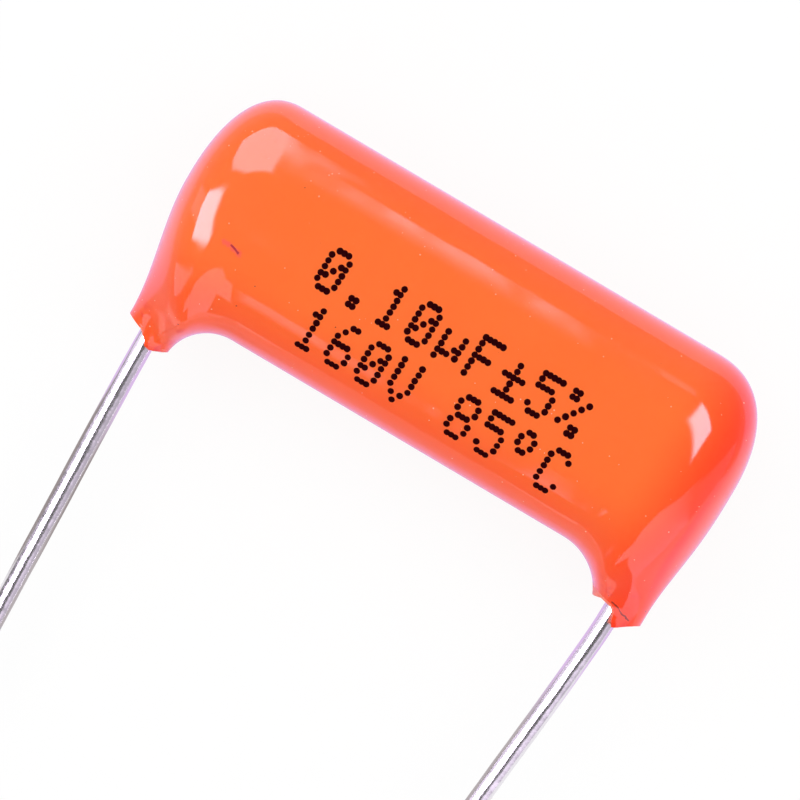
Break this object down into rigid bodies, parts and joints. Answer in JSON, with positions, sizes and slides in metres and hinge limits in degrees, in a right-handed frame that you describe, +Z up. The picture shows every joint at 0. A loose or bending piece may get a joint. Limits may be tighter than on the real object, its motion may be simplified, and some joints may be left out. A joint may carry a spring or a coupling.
{
  "type": "film capacitor",
  "caption": "Flat oval body dipped in glossy orange epoxy, with tinned wire leads from its underside: a through-hole capacitor wound from film and foil.",
  "frame": {"origin": "on the bench, at the middle of the box round the part as it lies on its back", "axes": "+X along the body to its right end as seen from the front, +Y from the lead tips to the body, +Z up from the bench and out of the front face"},
  "size_m": [0.024, 0.0409, 0.0063],
  "materials": {
    "cured_epoxy": "dipped and cured, glossy",
    "tinned_wire": "drawn and tinned, satin",
    "solder": "melted and set, satin",
    "sprayed_zinc": "flame-sprayed, matte and grainy",
    "aluminium_foil": "rolled, bright",
    "polypropylene_film": "stretched film, glossy"
  },
  "bodies": {
    "root": {"epoxy_coat": "cured_epoxy", "left_lead": "tinned_wire", "right_lead": "tinned_wire", "left_solder": "solder", "right_solder": "solder", "left_end_metal": "sprayed_zinc", "right_end_metal": "sprayed_zinc", "left_foil": "aluminium_foil", "right_foil": "aluminium_foil", "inner_film": "polypropylene_film", "outer_film": "polypropylene_film", "wrap_film": "polypropylene_film"}
  },
  "joints": []
}
